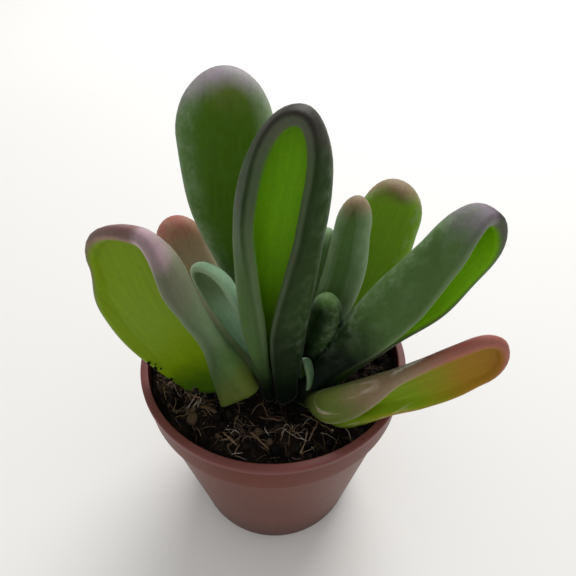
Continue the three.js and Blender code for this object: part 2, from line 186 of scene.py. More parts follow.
# Leaves: the rib's four points, the way the underside looks at base and tip,
# then for each side the way out to the fold, the fold's angle and the straight run past it, at even
# steps from base to shoulder; the fold's radius, the blade's thickness, and the tip
LEAVES = {
    "leaf_front": dict(
        rib=((0.5, -10.3, 50.5), (-1.5, -10, 66), (1.2, -10, 88), (5, -11, 111)),
        faces=((-0.1, -1, 0), (-0.3, -1, 0.1)),
        left=dict(
            half=(3.6, 4.4, 5.9, 7.1, 8),
            roll=(135, 148, 148, 138, 125),
            arm=(0.3, 0.3, 1.8, 2.1, 2.2),
        ),
        right=dict(
            half=(4.8, 6.2, 6.9, 7.1, 7),
            roll=(150, 150, 155, 145, 140),
            arm=(0.9, 2.2, 2.4, 2.2, 1.5),
        ),
        curl=(2, 2.2, 2.4, 2.4, 2.2),
        thick=(2.6, 2.6, 2.6, 2.5, 2.4),
        tip=dict(long=18, half=4.6, roll=95, arm=0.8),
    ),
    "leaf_back": dict(
        rib=((0.5, -4.6, 51), (-6.5, -2, 66), (-9, 3, 88), (-6, 11, 109.1)),
        faces=((-0.2, 1, 0), (-0.2, 1, -0.3)),
        left=dict(half=(3.8, 4, 6, 8.7, 9.1), roll=(105, 110, 110, 90, 80), arm=(0.5,)),
        right=dict(half=(3.6, 3.6, 4.8, 8.2, 9.6), roll=(100, 100, 105, 90, 80), arm=(0.5,)),
        curl=(2, 2.2, 2.4, 2.6, 2.6),
        thick=(2.8, 2.7, 2.6, 2.6, 2.6),
        tip=dict(long=12, half=7, roll=70, arm=0.3),
    ),
    "leaf_left": dict(
        rib=((-8.6, -10.6, 50.3), (-11, -7.6, 57.4), (-21, -8.5, 71), (-20.2, -11.5, 92.6)),
        faces=((-0.2, -1, -0.1), (-0.35, -1, 0)),
        left=dict(half=(10.5, 14, 16.4, 15.4, 12.2), roll=(20, 20, 20, 25, 35), arm=(1, 2, 2, 2, 0.5)),
        right=dict(
            half=(7.2, 7, 6.8, 7.2, 7.3),
            roll=(150, 150, 114, 112, 107),
            arm=(3.6, 1.4, 0.4, 0.8, 1.9),
        ),
        curl=(2.2, 2.4, 2.6, 2.6, 2.6),
        thick=(2.8, 2.8, 2.7, 2.6, 2.6),
        tip=dict(long=10.2, half=5, roll=70, arm=0.3),
    ),
    "leaf_right": dict(
        rib=((5.6, -8, 49.5), (12, -7, 58), (25, -3.5, 71), (35.6, -5.5, 93)),
        faces=((0.3, -0.95, -0.2), (0.27, -0.93, -0.22)),
        left=dict(half=(4.2, 5.4, 7, 7.6, 6.4), roll=(115, 112, 105, 100, 95), arm=(1.5, 2.2, 4.6, 5.8, 4.6)),
        right=dict(half=(4, 4.4, 5.4, 7.4, 7.6), roll=(130, 110, 85, 70, 60), arm=(1, 1.4, 3, 5, 5)),
        curl=(2.4, 2.8, 3.2, 3.2, 3),
        thick=(2.8, 2.8, 2.7, 2.6, 2.6),
        tip=dict(long=11, half=6, roll=80, arm=1.5),
    ),
    "leaf_low_right": dict(
        rib=((4.8, -11, 47.8), (11.8, -19.8, 53), (27.6, -16.2, 60.3), (43.2, -14.6, 68)),
        faces=((0.2, -0.95, 0), (0.05, -0.97, 0.1)),
        left=dict(
            half=(1.9, 2.6, 4.9, 5.3, 5.2, 5, 5, 5, 4.8),
            roll=(70, 80, 110, 110, 98, 76, 64, 60, 60),
            arm=(0.2, 0.3, 2, 2.2, 1.4, 0.4, 0.3, 0.3, 0.3),
        ),
        right=dict(
            half=(1.9, 2.6, 4.9, 5.4, 6.6, 8, 8.8, 9, 8.4),
            roll=(70, 80, 110, 90, 60, 45, 35, 35, 40),
            arm=(0.2, 0.3, 0.5, 0.8, 1, 1, 1, 0.8, 0.5),
        ),
        curl=(0.6, 1, 2.2, 2.4, 2.4, 2.4, 2.4, 2.4, 2.4),
        thick=(2.2, 2.4, 2.8, 2.8, 2.7, 2.6, 2.5, 2.4, 2.4),
        tip=dict(long=7, half=5, roll=60, arm=0.3),
    ),
    "leaf_back_right": dict(
        rib=((5.2, -5.2, 49.5), (12, 2, 56), (22.5, 12, 62), (28.5, 22, 82)),
        faces=((0.5, 0.7, -0.4), (0.4, 0.9, -0.4)),
        left=dict(half=(3.8, 5, 6.8, 8.6, 8.2), roll=(140, 140, 120, 100, 90), arm=(0.5,)),
        right=dict(half=(3.8, 4.5, 5.5, 7, 7), roll=(140, 140, 120, 100, 90), arm=(0.5,)),
        curl=(2, 2.2, 2.4, 2.4, 2.4),
        thick=(2.6, 2.6, 2.5, 2.4, 2.4),
        tip=dict(long=9, half=5.5, roll=80, arm=0.3),
    ),
    "leaf_back_left": dict(
        rib=((-0.2, -5.4, 48.8), (-8, 2, 52), (-18, 12, 56), (-22.5, 20, 74)),
        faces=((-0.5, 0.7, -0.5), (-0.4, 0.8, -0.6)),
        left=dict(half=(3.6, 4.8, 6.4, 7.2, 6.8), roll=(115, 125, 120, 100, 90), arm=(0.5,)),
        right=dict(half=(3.6, 4, 5, 6, 6), roll=(115, 115, 115, 100, 90), arm=(0.5,)),
        curl=(2, 2.2, 2.2, 2.2, 2.2),
        thick=(2.6, 2.6, 2.5, 2.4, 2.4),
        tip=dict(long=8, half=5, roll=80, arm=0.3),
    ),
    "leaf_small_left": dict(
        rib=((0.2, -7, 53), (-6, -5, 58), (-10, -3, 68), (-13, -3, 79)),
        faces=((-0.45, -0.85, -0.1), (-0.45, -0.85, -0.1)),
        left=dict(half=(2.6, 3, 3.6, 4, 4), roll=(40, 30, 30, 35, 50), arm=(0.5,)),
        right=dict(half=(2.6, 3.4, 5, 6.4, 6), roll=(110, 110, 110, 100, 90), arm=(0.2,)),
        curl=(1.6, 1.6, 1.7, 1.7, 1.7),
        thick=(2, 2, 1.9, 1.8, 1.8),
        tip=dict(long=6, half=3.6, roll=70, arm=0.2),
    ),
    "leaf_inner": dict(
        rib=((4.4, -5.6, 55), (13, -0.5, 61), (15, 4, 74), (17, 8, 85.5)),
        faces=((0.5, 0.7, -0.2), (0.3, 0.9, -0.2)),
        left=dict(half=(3, 4.2, 5, 5, 4), roll=(115, 125, 125, 125, 120), arm=(0.5,)),
        right=dict(half=(3, 3.6, 4, 4, 3.8), roll=(115, 125, 125, 125, 120), arm=(0.5,)),
        curl=(1.8, 1.9, 2, 2, 2),
        thick=(2.2, 2.2, 2.2, 2.1, 2),
        tip=dict(long=7, half=3.6, roll=90, arm=0.3),
    ),
    "leaf_inner_back": dict(
        rib=((2.9, -4.4, 56), (5, 2, 61), (10, 6, 66), (11.5, 9, 77)),
        faces=((0.2, 0.9, -0.2), (0.2, 0.95, -0.2)),
        left=dict(half=(2.6, 3, 3.4, 3.4, 3.2), roll=(110, 115, 120, 120, 115), arm=(0.5,)),
        right=dict(half=(2.6, 3, 3.4, 3.4, 3.2), roll=(110, 115, 120, 120, 115), arm=(0.5,)),
        curl=(1.6, 1.6, 1.7, 1.7, 1.7),
        thick=(2, 2, 1.9, 1.8, 1.8),
        tip=dict(long=5, half=3.2, roll=90, arm=0.3),
    ),
    "leaf_small_right": dict(
        rib=((5, -8.4, 55.5), (7, -9, 60), (9.5, -9, 65), (9.8, -8, 73)),
        faces=((0.6, 0.6, -0.4), (0.5, 0.8, -0.3)),
        left=dict(half=(2.6, 3, 3.4, 3.4, 3.4), roll=(120, 130, 120, 110, 100), arm=(0.5,)),
        right=dict(half=(2.6, 3, 3.4, 3.4, 3.4), roll=(120, 130, 120, 110, 100), arm=(0.5,)),
        curl=(1.6, 1.6, 1.7, 1.7, 1.7),
        thick=(2, 2, 1.9, 1.8, 1.8),
        tip=dict(long=5, half=3.2, roll=90, arm=0.3),
    ),
    "leaf_bud": dict(
        rib=((4, -10.4, 47.2), (7, -12.4, 50), (8.2, -12.4, 55), (6.6, -11.2, 60)),
        faces=((-0.6, -0.7, 0.3), (-0.9, -0.3, 0)),
        left=dict(half=(1.4, 1.7, 1.9, 1.9, 1.8), roll=(60,), arm=(0.5,)),
        right=dict(half=(1.4, 1.7, 1.9, 1.9, 1.8), roll=(60,), arm=(0.5,)),
        curl=(0.9,),
        thick=(1.2,),
        tip=dict(long=3, half=1.6, roll=60, arm=0.3),
    ),
}

# Tones of the leaves, as 0-255 RGB
TONES = {
    # Painted shadow: the two darkest greens, set at the leaf bases under the crown and over leaves that lie
    # in shade
    "night": (10, 22, 10),
    "deep": (22, 40, 14),
    "shade": (40, 64, 18),
    "moss": (66, 100, 10),
    "grass": (104, 144, 20),
    # Painted glow: these two bright greens are the hollow undersides' own yellow-green, made brighter to
    # stand for light shining through the leaf
    "fresh": (106, 156, 0),
    "lime": (114, 170, 0),
    "yellow": (114, 142, 0),
    "olive": (98, 112, 46),
    "teal": (92, 122, 88),
    "sage": (84, 114, 60),
    "mist": (126, 150, 110),
    "frost": (172, 210, 174),
    "mauve": (204, 170, 182),
    "smoke": (157, 146, 154),
    "plum": (150, 108, 108),
    "slate": (62, 56, 50),
    "violet": (132, 118, 132),
    "rose": (164, 92, 84),
    "dust": (136, 138, 112),
    "tan": (146, 122, 96),
    "brown": (100, 84, 48),
    "ochre": (150, 112, 22),
    "rust": (150, 96, 40),
}

# Where along a leaf its five tones lie
TONE_PLACES = (0.06, 0.25, 0.5, 0.84, 1.0)

# The five tones of each leaf from base to tip: on the upper face, on the folds of its left and right side and
# in the hollow underside. The wax figure is how thick its pale wax is, which along the bend is also a painted
# highlight, the edge figure how strong the painted highlight along its rim is, and the lip figure how dark
# the painted shade in the fold gets towards the rim.
LOOKS = {
    "leaf_front": dict(
        slot="leaf_green",
        upper="night shade moss moss slate",
        left="night sage sage shade slate",
        right="night deep shade shade slate",
        hollow="deep fresh lime lime fresh",
        wax_and_highlight=0.25,
        edge=0.15,
        lip=0.55,
    ),
    "leaf_back": dict(
        slot="leaf_green",
        upper="moss moss moss moss olive",
        left="sage mist mist mist smoke",
        right="sage mist sage sage smoke",
        hollow="moss fresh fresh moss brown",
        wax_and_highlight=0.3,
        edge=0.3,
        lip=0.8,
    ),
    "leaf_left": dict(
        slot="leaf_yellow_green",
        upper="sage sage dust tan mauve",
        left="moss yellow olive brown plum",
        right="olive sage mist dust mauve",
        hollow="moss yellow yellow yellow yellow",
        wax_and_highlight=0.2,
        edge=0.08,
        lip=0.5,
    ),
    "leaf_right": dict(
        slot="leaf_dark_green",
        upper="night night sage sage slate",
        left="night night sage sage violet",
        right="deep shade shade shade slate",
        hollow="moss fresh lime lime lime",
        wax_and_highlight=0.4,
        edge=0.15,
        lip=0.75,
    ),
    "leaf_low_right": dict(
        slot="leaf_tan",
        upper="night olive tan plum rose",
        left="night olive tan rose rose",
        right="moss yellow ochre rust rose",
        hollow="moss yellow yellow ochre rust",
        wax_and_highlight=0.12,
        edge=0.08,
        lip=0.85,
    ),
    "leaf_back_right": dict(
        slot="leaf_green",
        upper="moss grass grass grass brown",
        left="sage grass grass grass tan",
        right="moss grass grass grass tan",
        hollow="moss fresh fresh moss rust",
        wax_and_highlight=0.25,
        edge=0.3,
        lip=0.9,
    ),
    "leaf_back_left": dict(
        slot="leaf_red",
        upper="sage sage dust tan rose",
        left="sage dust dust tan rose",
        right="sage dust dust tan rose",
        hollow="olive brown rust rose rose",
        wax_and_highlight=0.25,
        edge=0.2,
        lip=0.9,
    ),
    "leaf_small_left": dict(
        slot="leaf_blue_green",
        upper="shade sage teal mist frost",
        left="shade teal teal frost frost",
        right="shade mist mist frost frost",
        hollow="sage frost frost mist mist",
        wax_and_highlight=0.4,
        edge=0.5,
        lip=0.85,
    ),
    "leaf_inner": dict(
        slot="leaf_green",
        upper="night shade sage sage brown",
        left="shade sage mist mist tan",
        right="deep sage mist mist tan",
        hollow="deep moss sage sage brown",
        wax_and_highlight=0.35,
        edge=0.3,
        lip=0.8,
    ),
    "leaf_inner_back": dict(
        slot="leaf_green",
        upper="shade shade sage sage mist",
        left="shade sage mist mist mist",
        right="shade sage sage mist mist",
        hollow="deep moss sage sage sage",
        wax_and_highlight=0.3,
        edge=0.3,
        lip=0.8,
    ),
    "leaf_small_right": dict(
        slot="leaf_dark_green",
        upper="night night deep deep shade",
        left="night deep shade shade sage",
        right="night deep shade shade sage",
        hollow="night deep shade shade sage",
        wax_and_highlight=0.3,
        edge=0.35,
        lip=0.8,
    ),
    "leaf_bud": dict(
        slot="leaf_blue_green",
        upper="deep shade teal teal teal",
        left="deep teal teal teal frost",
        right="deep shade teal teal teal",
        hollow="night deep shade shade teal",
        wax_and_highlight=0.3,
        edge=0.3,
        lip=0.9,
    ),
}

# Tones of the marks on the leaves: pale wax, which along the bend is also a painted highlight, the painted
# highlight along the rim, and corky dots
WAX_AND_HIGHLIGHT_TONE = (150, 170, 138)
EDGE_HIGHLIGHT_TONE = (160, 176, 140)
CORK_TONE = (52, 44, 26)

# A healed cut on the low leaf: where it starts and ends along the leaf and across its fold, where its red
# part ends, and its tones; then how strong the scratches below it are, and their tone
SCAR_LEAF = "leaf_low_right"
SCAR_ALONG = (0.5, 0.86)
SCAR_RIM = (0.72, 0.88)
SCAR_FADE = (0.05, 0.06)
SCAR_TURN = (0.68, 0.62)
SCAR_RED = (124, 36, 36)
SCAR_PALE = (206, 194, 184)
SCRATCHES = 0.45
SCRATCH_TONE = (206, 186, 170)

# The grid of a leaf: columns on its flat, its fold and its edge, the share of "rim" that each takes, the
# steps along it and round its tip, and how far its flat part is crowned, in radians
FLAT_COLUMNS = 6
FOLD_COLUMNS = 10
EDGE_COLUMNS = 6
RIM_FLAT = 0.45
RIM_FOLD = 0.35
RIM_EDGE = 0.16
ROW_STEP = 1.0
CAP_STEP = 0.9
CROWN = 0.12
RIB_POINTS = 401

# Unevenness of the leaves: how wide and how high the swells and the dimples are
LEAF_SWELLS = (14, 0.3)
LEAF_DIMPLES = (4, 0.06)

# Stage
WINDOW_PLACE = (0.35, 0.95, 1.0)
WINDOW_SIZE = 1.1
WINDOW_POWER = 14.0
AIM = (0, 0, 0.05)
WHITE = (1.0, 1.0, 1.0)
SKY_STRENGTH = 0.62
GROUND_HALF = 2500
GROUND_TONES = ((240, 240, 238), (237, 235, 230))


def colour(red, green, blue):
    """A linear RGBA colour from 0-255 sRGB numbers."""
    parts = [((c / 255 + 0.055) / 1.055) ** 2.4 if c > 10 else c / 255 / 12.92 for c in (red, green, blue)]
    return (*parts, 1.0)


def colours(stops):
    """The same stops with their 0-255 tones as linear colours."""
    return [(place, colour(*tone)) for place, tone in stops]


def unit(vectors):
    """The vectors, each with a length of 1."""
    return vectors / np.linalg.norm(vectors, axis=-1, keepdims=True)


def mesh_object(name, points, faces, attributes=None, sharp=None):
    """An object at the origin from points in millimetres; attributes are named numbers for each point."""
    mesh = bpy.data.meshes.new(name)
    mesh.from_pydata((np.asarray(points) * MM).tolist(), [], [tuple(face) for face in faces])
    for key, values in (attributes or {}).items():
        values = np.asarray(values, dtype=np.float32)
        vector = values.ndim == 2
        layer = mesh.attributes.new(key, "FLOAT_VECTOR" if vector else "FLOAT", "POINT")
        layer.data.foreach_set("vector" if vector else "value", values.ravel())
    mesh.polygons.foreach_set("use_smooth", [True] * len(mesh.polygons))
    if sharp:
        mesh.set_sharp_from_angle(angle=math.radians(sharp))
    mesh.update()
    made = bpy.data.objects.new(name, mesh)
    bpy.context.scene.collection.objects.link(made)
    return made


def piece(made, material, slot, *nodes):
    """The object with its material, riding on the pot's body in the place of the named nodes."""
    made.data.materials.append(material)
    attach(made, "root")
    if nodes:
        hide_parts(*nodes)
    return made


def warped(points, period, height, seed):
    """The points, moved smoothly by up to about height."""
    shift = Vector((seed * 31.7, seed * 17.3, seed * 7.9))
    moved = [noise.noise_vector(Vector(p) / period + shift) for p in points]
    return points + height * np.array(moved)


class Shader:
    """A node material, with a short call for each kind of node that it needs."""

    def __init__(self, name):
        self.material = bpy.data.materials.new(name)
        self.material.use_nodes = True
        self.tree = self.material.node_tree
        self.surface = self.tree.nodes["Principled BSDF"]
        place = self.node("TexCoord", out="Object")
        self.place = self.node("VectorMath", {0: place, "Scale": 1 / MM}, operation="SCALE")

    def put(self, socket, value):
        if isinstance(value, bpy.types.NodeSocket):
            self.tree.links.new(value, socket)
        else:
            socket.default_value = value

    def node(self, kind, values=(), out=0, **options):
        made = self.tree.nodes.new("ShaderNode" + kind)
        for key, value in options.items():
            setattr(made, key, value)
        pairs = values.items() if isinstance(values, dict) else enumerate(values)
        for key, value in pairs:
            self.put(made.inputs[key], value)
        return made.outputs[out]

    def set(self, **values):
        for key, value in values.items():
            self.put(self.surface.inputs[key.replace("_", " ")], value)

    def math(self, operation, *values):
        return self.node("Math", values, operation=operation)

    def span(self, value, low, high, start=0.0, end=1.0):
        """start at low and end at high, with a smooth step between."""
        return self.node("MapRange", (value, low, high, start, end), interpolation_type="SMOOTHSTEP")

    def attribute(self, name, out="Fac"):
        return self.node("Attribute", out=out, attribute_name=name)

    def noise(self, scale, detail=2.0, rough=0.5, vector=None):
        values = {"Vector": vector or self.place, "Scale": scale, "Detail": detail, "Roughness": rough}
        return self.node("TexNoise", values)

    def mix(self, factor, first, second, blend="MIX"):
        values = {0: factor, 6: first, 7: second}
        return self.node("Mix", values, out=2, data_type="RGBA", blend_type=blend)

    def ramp(self, factor, stops):
        made = self.tree.nodes.new("ShaderNodeValToRGB")
        band = made.color_ramp
        band.interpolation = "EASE"
        for _ in stops[2:]:
            band.elements.new(0.5)
        for element, (place, shade) in zip(band.elements, stops):
            element.position = place
            element.color = shade
        self.put(made.inputs[0], factor)
        return made.outputs[0]

    def shaded(self, shade, factor, low, high):
        """shade made darker or lighter, from low to high as factor goes from 0 to 1."""
        grey = self.node("MapRange", (factor, 0.0, 1.0, low, high))
        return self.mix(1.0, shade, grey, "MULTIPLY")

    def bump(self, height, distance, strength):
        values = {"Height": height, "Distance": distance * MM, "Strength": strength}
        self.put(self.surface.inputs["Normal"], self.node("Bump", values))


def smooth_list(values, s):
    """The value at s, from 0 to 1, of a smooth curve through evenly spaced values."""
    values = np.asarray(values, dtype=float)
    last = len(values) - 1
    place = np.clip(s, 0, 1) * last
    i = np.minimum(place.astype(int), last - 1)
    t = place - i
    a, b, c, d = (values[np.clip(i + k, 0, last)] for k in (-1, 0, 1, 2))
    return b + 0.5 * t * (c - a + t * (2 * a - 5 * b + 4 * c - d + t * (3 * (b - c) + d - a)))


class Rib:
    """The line along the middle of a leaf, with its direction and the blade's own directions."""

    def __init__(self, leaf):
        t = np.linspace(0, 1, RIB_POINTS)[:, None]
        a, b, c, d = (np.array(p, dtype=float) for p in leaf["rib"])
        self.points = a * (1 - t) ** 3 + 3 * b * t * (1 - t) ** 2 + 3 * c * t * t * (1 - t) + d * t**3
        slopes = (b - a) * (1 - t) ** 2 + 2 * (c - b) * t * (1 - t) + (d - c) * t * t
        self.tangents = unit(slopes)
        steps = np.linalg.norm(np.diff(self.points, axis=0), axis=1)
        self.places = np.concatenate([[0], np.cumsum(steps)])
        self.length = self.places[-1]
        self.faces = [unit(np.array(f, dtype=float)) for f in leaf["faces"]]

    def frame(self, distance):
        """The point at each distance, with the blade's upward and sideways directions there."""
        inside = np.clip(distance, 0, self.length)
        point = np.stack([np.interp(inside, self.places, self.points[:, k]) for k in range(3)], -1)
        tangent = unit(np.stack([np.interp(inside, self.places, self.tangents[:, k]) for k in range(3)], -1))
        point = point + tangent * (distance - inside)[..., None]
        s = (inside / self.length)[..., None]
        up = -(self.faces[0] * (1 - s) + self.faces[1] * s)
        up = unit(up - tangent * np.sum(up * tangent, -1, keepdims=True))
        return point, up, np.cross(tangent, up)


def side_points(half, roll, arm, curl, thick):
    """For each section, the points of one side from the rib to the folded edge."""
    turn = np.radians(roll)
    fold = curl * np.sin(np.minimum(turn, math.pi / 2)) + arm * np.maximum(np.cos(turn), 0)
    flat = half - thick / 2 - fold
    columns = []
    for k in range(FLAT_COLUMNS):
        f = k / FLAT_COLUMNS
        columns.append((f * flat, 0.5 * CROWN * f * f * flat, CROWN * f + 0 * turn, thick / 2, RIM_FLAT * f))
    for k in range(FOLD_COLUMNS + 1):
        f = k / FOLD_COLUMNS
        slope = CROWN + (turn - CROWN) * f
        out = flat + curl * (np.sin(slope) - math.sin(CROWN))
        back = 0.5 * CROWN * flat + curl * (math.cos(CROWN) - np.cos(slope))
        columns.append((out, back, slope, thick / 2, RIM_FLAT + RIM_FOLD * f))
    bend_out, bend_back = columns[-1][:2]
    for k in range(EDGE_COLUMNS + 1):
        f = k / EDGE_COLUMNS
        reach = arm + thick / 2 * math.sin(f * math.pi / 2)
        shrunk = thick / 2 * math.cos(f * math.pi / 2)
        out = bend_out + reach * np.cos(turn)
        columns.append((out, bend_back + reach * np.sin(turn), turn, shrunk, 1 - RIM_EDGE + RIM_EDGE * f))
    return [np.stack([column[k] + 0 * turn for column in columns], 1) for k in range(5)]


def leaf_lines(leaf, rib):
    """The lines across a leaf: up its left side, round the tip and down its right side."""
    tip = leaf["tip"]
    shoulder = rib.length - tip["long"]
    rows = round(shoulder / ROW_STEP) + 1
    caps = 2 * round((tip["long"] + tip["half"]) / CAP_STEP / 2) + 2
    slide = tip["long"] - tip["half"]
    lines = []
    for k in range(rows + 1):
        lines.append(("left", k / rows, k / rows * shoulder, 1.0, 0.0, 0.0))
    for k in range(1, caps):
        turn = k / caps * math.pi
        side = "left" if turn < math.pi / 2 else "right"
        lines.append((side, 1.0, shoulder + slide * math.sin(turn), math.cos(turn), math.sin(turn), 1.0))
    for k in range(rows, -1, -1):
        lines.append(("right", k / rows, k / rows * shoulder, -1.0, 0.0, 0.0))
    return lines


def leaf_grid(leaf, rib):
    """Points all round each line across a leaf, each with the numbers that its material needs."""
    tip = leaf["tip"]
    lines = leaf_lines(leaf, rib)
    left = np.array([line[0] == "left" for line in lines])
    s, start, x, y, cap = (np.array([line[k] for line in lines]) for k in range(1, 6))

    def station(key):
        return np.where(left, smooth_list(leaf["left"][key], s), smooth_list(leaf["right"][key], s))

    half, roll, arm = (station(key) for key in ("half", "roll", "arm"))
    curl, thick = (smooth_list(leaf[key], s) for key in ("curl", "thick"))
    share = np.where(cap > 0, y * y, 0)
    oval_x, oval_y = half * x, tip["half"] * y
    oval = np.hypot(oval_x, oval_y)
    roll = roll + (tip["roll"] - roll) * share
    arm = arm + (tip["arm"] - arm) * share
    out, back, slope, thin, column = side_points(oval, roll, arm, curl, thick)
    way_x, way_y = (oval_x / oval)[:, None], (oval_y / oval)[:, None]
    halves = []
    for face in (1, -1):
        reach = out + face * thin * np.sin(slope)
        rise = face * thin * np.cos(slope) - back
        distance = start[:, None] + reach * way_y
        point, up, across = rib.frame(distance)
        place = point + across * (reach * way_x)[..., None] + up * rise[..., None]
        level = face * thin / (thick / 2)[:, None]
        data = [distance / rib.length, column, way_x + 0 * reach, level, reach * way_x, distance]
        halves.append(np.concatenate([place, np.stack(data, -1)], -1))
    upper, lower = halves
    return np.concatenate([upper, lower[:, -2::-1]], 1)


def sewn(count, width):
    """The faces over a leaf's grid, joined along its rib, and the grid points that they use."""
    index = np.arange(count * width).reshape(count, width)
    for i in range(count):
        mirror = count - 1 - i
        if i > mirror:
            index[i, 0] = index[mirror, 0]
            index[i, -1] = index[mirror, -1]
    a, b = index[:-1], index[1:]
    faces = np.stack([a[:, :-1], a[:, 1:], b[:, 1:], b[:, :-1]], -1).reshape(-1, 4).tolist()
    last = width - 1
    for ring, turned_over in ((index[0], True), (index[-1], False)):
        for j in range(width // 2):
            quad = [ring[j], ring[j + 1], ring[last - j - 1], ring[last - j]]
            faces.append(quad[::-1] if turned_over else quad)
    used, renumbered = np.unique(index, return_inverse=True)
    lookup = np.zeros(count * width, dtype=int)
    lookup[index.ravel()] = renumbered.ravel()
    faces = [list(dict.fromkeys(lookup[face].tolist())) for face in faces]
    return used, [face for face in faces if len(face) > 2]


def leaf_mesh(name, leaf):
    grid = leaf_grid(leaf, Rib(leaf))
    used, faces = sewn(*grid.shape[:2])
    values = grid.reshape(-1, grid.shape[2])[used]
    points = warped(values[:, :3], *LEAF_SWELLS, len(name))
    points = warped(points, *LEAF_DIMPLES, 2)
    attributes = dict(along=values[:, 3], rim=values[:, 4], side=values[:, 5], face=values[:, 6])
    attributes["blade"] = np.stack([values[:, 7], values[:, 8], values[:, 6]], -1)
    return mesh_object("plant_" + name, points, faces, attributes)


def scarred(shader, shade, along, rim, side, mottle, streak):
    """shade with the healed cut along one fold and fine pale scratches below it."""
    start, end = SCAR_ALONG
    low, high = SCAR_RIM
    run_fade, wide_fade = SCAR_FADE
    starts = shader.span(along, start, start + run_fade)
    run = shader.math("MULTIPLY", starts, shader.span(along, end, end - run_fade))
    rises = shader.span(rim, low, low + wide_fade)
    wide = shader.math("MULTIPLY", rises, shader.span(rim, high, high - wide_fade))
    scar = shader.math("MULTIPLY", shader.math("MULTIPLY", run, wide), shader.span(side, 0.0, 0.3))
    scar = shader.math("MULTIPLY", scar, shader.span(mottle, 0.34, 0.52))
    healed = shader.mix(shader.span(along, *SCAR_TURN), colour(*SCAR_RED), colour(*SCAR_PALE))
    shade = shader.mix(scar, shade, healed)
    scratch = shader.math("MULTIPLY", shader.span(streak, 0.58, 0.66), shader.span(along, 0.56, 0.4))
    scratch = shader.math("MULTIPLY", scratch, shader.span(along, 0.12, 0.24))
    return shader.mix(shader.math("MULTIPLY", scratch, SCRATCHES), shade, colour(*SCRATCH_TONE))


def leaf_material(name, look):
    shader = Shader("skin_" + name)
    along, rim, side, face = (shader.attribute(key) for key in ("along", "rim", "side", "face"))
    blade = shader.attribute("blade", "Vector")
    cloud = shader.noise(0.16, 3.0)
    mottle = shader.noise(1.4, 4.0, 0.6)
    grain = shader.noise(7.0, 2.0)
    lines = shader.node("VectorMath", (blade, (1.3, 0.06, 1.0)), operation="MULTIPLY")
    streak = shader.noise(1.0, 3.0, 0.6, lines)
    drift = shader.math("MULTIPLY_ADD", cloud, 0.2, -0.1)
    place = shader.math("ADD", along, drift)

    def band(key):
        stops = [(stop, TONES[tone]) for stop, tone in zip(TONE_PLACES, look[key].split())]
        return shader.ramp(place, colours(stops))

    fold = shader.mix(shader.span(side, -0.2, 0.2), band("right"), band("left"))
    bent = shader.span(shader.math("ADD", rim, drift), 0.34, 0.68)
    outer = shader.mix(bent, band("upper"), fold)
    # Painted shade: the fold grows darker towards the leaf's margin, by the lip figure
    outer = shader.shaded(outer, shader.span(rim, 0.7, 0.92), 1.0, look["lip"])
    # The hollow's tones are set bright, as painted glow of light shining through the leaf
    inner = shader.mix(shader.span(rim, 0.86, 0.98), band("hollow"), fold)
    under = shader.span(face, 0.2, -0.5)
    shade = shader.mix(under, outer, inner)
    shade = shader.shaded(shade, streak, 0.8, 1.2)
    shade = shader.shaded(shade, mottle, 0.84, 1.16)

    # Pale wax on the outside, rubbed off in places and thickest along the bend, where it is also a painted
    # highlight where light catches the fold
    highlight_ridge = shader.math("MULTIPLY", shader.span(rim, 0.42, 0.62), shader.span(rim, 0.86, 0.68))
    wax_and_highlight = shader.math("MULTIPLY", shader.span(shader.noise(0.5, 4.0, 0.6), 0.4, 0.7), look["wax_and_highlight"])
    wax_and_highlight = shader.math("MULTIPLY", wax_and_highlight, shader.math("MULTIPLY_ADD", highlight_ridge, 0.92, 0.08))
    wax_and_highlight = shader.math("MULTIPLY", wax_and_highlight, shader.span(under, 1.0, 0.0))
    wax_and_highlight = shader.math("MULTIPLY", wax_and_highlight, shader.span(along, 0.1, 0.4))
    shade = shader.mix(wax_and_highlight, shade, colour(*WAX_AND_HIGHLIGHT_TONE))
    # Painted highlight: a pale line along the rim, where light from behind catches the leaf's edge
    edge = shader.math("MULTIPLY", shader.span(rim, 0.9, 0.97), look["edge"])
    edge = shader.math("MULTIPLY", edge, shader.span(along, 0.1, 0.4))
    shade = shader.mix(edge, shade, colour(*EDGE_HIGHLIGHT_TONE))

    # Corky dots
    dots = shader.node("TexVoronoi", {"Vector": shader.place, "Scale": 0.55}, feature="F1")
    dot = shader.math("MULTIPLY", shader.span(dots, 0.09, 0.03), 0.35)
    shade = shader.mix(dot, shade, colour(*CORK_TONE))
    if name == SCAR_LEAF:
        shade = scarred(shader, shade, along, rim, side, mottle, streak)

    rough = shader.math("MULTIPLY_ADD", mottle, 0.2, 0.36)
    shader.set(Base_Color=shade, Roughness=shader.math("MULTIPLY_ADD", wax_and_highlight, 0.4, rough))
    shader.set(Subsurface_Weight=0.25, Subsurface_Radius=(0.8, 1.0, 0.2), Subsurface_Scale=1.4 * MM)
    shader.set(Specular_IOR_Level=0.1, Sheen_Weight=0.04, Sheen_Roughness=0.3)
    height = shader.math("MULTIPLY_ADD", streak, 0.6, shader.math("MULTIPLY_ADD", grain, 0.5, mottle))
    shader.bump(height, 0.09, 0.5)
    return shader.material


def ground_height(x, y):
    """The height of the soil without its finer swells."""
    lumps = np.sin(0.5 * x + 0.3 * y) + np.sin(0.21 * x - 0.62 * y + 1) + np.sin(0.9 * x + 0.4 * y + 2)
    return SOIL_LEVEL + SOIL_TILT[0] * x + SOIL_TILT[1] * y + LUMP_HEIGHT * lumps


